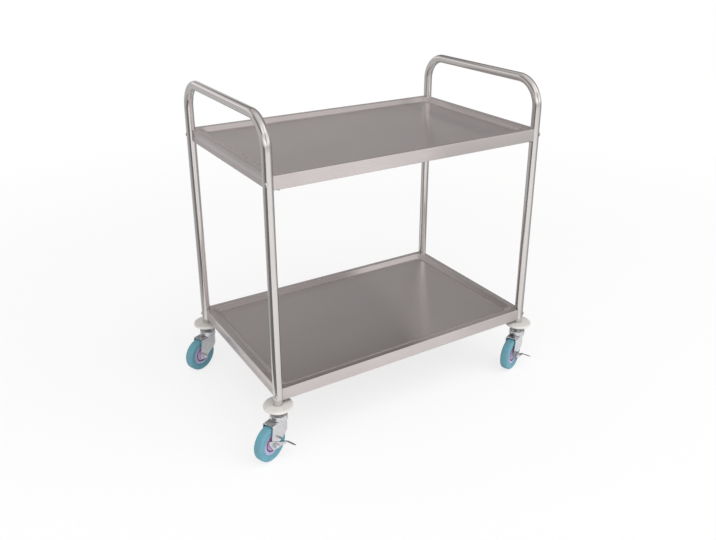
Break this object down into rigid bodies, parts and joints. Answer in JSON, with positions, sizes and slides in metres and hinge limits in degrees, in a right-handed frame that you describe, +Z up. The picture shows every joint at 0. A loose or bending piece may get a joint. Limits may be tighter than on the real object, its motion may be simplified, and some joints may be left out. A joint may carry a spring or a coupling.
{
  "type": "serving trolley",
  "caption": "Two-tier serving trolley: tubular end frames with handles, recessed sheet shelves, round bumpers and swivel castors, with side brakes on the front castors.",
  "frame": {"origin": "on the floor, below the middle of the rectangle of the four swivel axes", "axes": "+X along the trolley to the right end, +Y to the back, +Z up"},
  "size_m": [0.9549, 0.595, 0.912],
  "materials": {
    "tube": "polished",
    "sheet": "brushed",
    "fastener": "bright",
    "zinc": "bright zinc plated",
    "steel": "plain",
    "bumper": "satin",
    "tyre": "satin",
    "hub": "satin",
    "nylon": "plain"
  },
  "bodies": {
    "frame": {"left_end_frame": "tube", "right_end_frame": "tube", "leg_inserts": "steel", "lower_shelf": "sheet", "lower_shelf_rib": "sheet", "lower_shelf_bolts": "fastener", "lower_shelf_nuts": "fastener", "upper_shelf": "sheet", "upper_shelf_rib": "sheet", "upper_shelf_bolts": "fastener", "upper_shelf_nuts": "fastener", "front_left_bumper": "bumper", "front_left_stem": "zinc", "front_left_cup": "zinc", "front_right_bumper": "bumper", "front_right_stem": "zinc", "front_right_cup": "zinc", "back_left_bumper": "bumper", "back_left_stem": "zinc", "back_left_cup": "zinc", "back_right_bumper": "bumper", "back_right_stem": "zinc", "back_right_cup": "zinc"},
    "front_left_castor": {"front_left_fork": "zinc", "front_left_balls": "steel", "front_left_axle": "zinc", "front_left_axle_nut": "zinc"},
    "front_left_wheel": {"front_left_hub": "hub", "front_left_tyre": "tyre", "front_left_bush": "nylon"},
    "front_left_brake": {"front_left_brake_lever": "zinc"},
    "front_right_castor": {"front_right_fork": "zinc", "front_right_balls": "steel", "front_right_axle": "zinc", "front_right_axle_nut": "zinc"},
    "front_right_wheel": {"front_right_hub": "hub", "front_right_tyre": "tyre", "front_right_bush": "nylon"},
    "front_right_brake": {"front_right_brake_lever": "zinc"},
    "back_left_castor": {"back_left_fork": "zinc", "back_left_balls": "steel", "back_left_axle": "zinc", "back_left_axle_nut": "zinc"},
    "back_left_wheel": {"back_left_hub": "hub", "back_left_tyre": "tyre", "back_left_bush": "nylon"},
    "back_right_castor": {"back_right_fork": "zinc", "back_right_balls": "steel", "back_right_axle": "zinc", "back_right_axle_nut": "zinc"},
    "back_right_wheel": {"back_right_hub": "hub", "back_right_tyre": "tyre", "back_right_bush": "nylon"}
  },
  "joints": [
    {"name": "front_left_swivel", "type": "hinge", "parent": "frame", "child": "front_left_castor", "pos_m": [-0.415, -0.254, 0.1055], "axis": [0, 0, 1], "continuous": true},
    {"name": "front_left_roll", "type": "hinge", "parent": "front_left_castor", "child": "front_left_wheel", "pos_m": [-0.4509, -0.26924, 0.05], "axis": [0.3907, -0.9205, 0], "continuous": true},
    {"name": "front_left_brake_press", "type": "hinge", "parent": "front_left_castor", "child": "front_left_brake", "pos_m": [-0.4509, -0.26924, 0.05], "axis": [-0.3907, 0.9205, 0], "range_deg": [0, 25]},
    {"name": "front_right_swivel", "type": "hinge", "parent": "frame", "child": "front_right_castor", "pos_m": [0.415, -0.254, 0.1055], "axis": [0, 0, 1], "continuous": true},
    {"name": "front_right_roll", "type": "hinge", "parent": "front_right_castor", "child": "front_right_wheel", "pos_m": [0.3791, -0.26924, 0.05], "axis": [0.3907, -0.9205, 0], "continuous": true},
    {"name": "front_right_brake_press", "type": "hinge", "parent": "front_right_castor", "child": "front_right_brake", "pos_m": [0.3791, -0.26924, 0.05], "axis": [-0.3907, 0.9205, 0], "range_deg": [0, 25]},
    {"name": "back_left_swivel", "type": "hinge", "parent": "frame", "child": "back_left_castor", "pos_m": [-0.415, 0.254, 0.1055], "axis": [0, 0, 1], "continuous": true},
    {"name": "back_left_roll", "type": "hinge", "parent": "back_left_castor", "child": "back_left_wheel", "pos_m": [-0.4509, 0.23876, 0.05], "axis": [0.3907, -0.9205, 0], "continuous": true},
    {"name": "back_right_swivel", "type": "hinge", "parent": "frame", "child": "back_right_castor", "pos_m": [0.415, 0.254, 0.1055], "axis": [0, 0, 1], "continuous": true},
    {"name": "back_right_roll", "type": "hinge", "parent": "back_right_castor", "child": "back_right_wheel", "pos_m": [0.3791, 0.23876, 0.05], "axis": [0.3907, -0.9205, 0], "continuous": true}
  ]
}
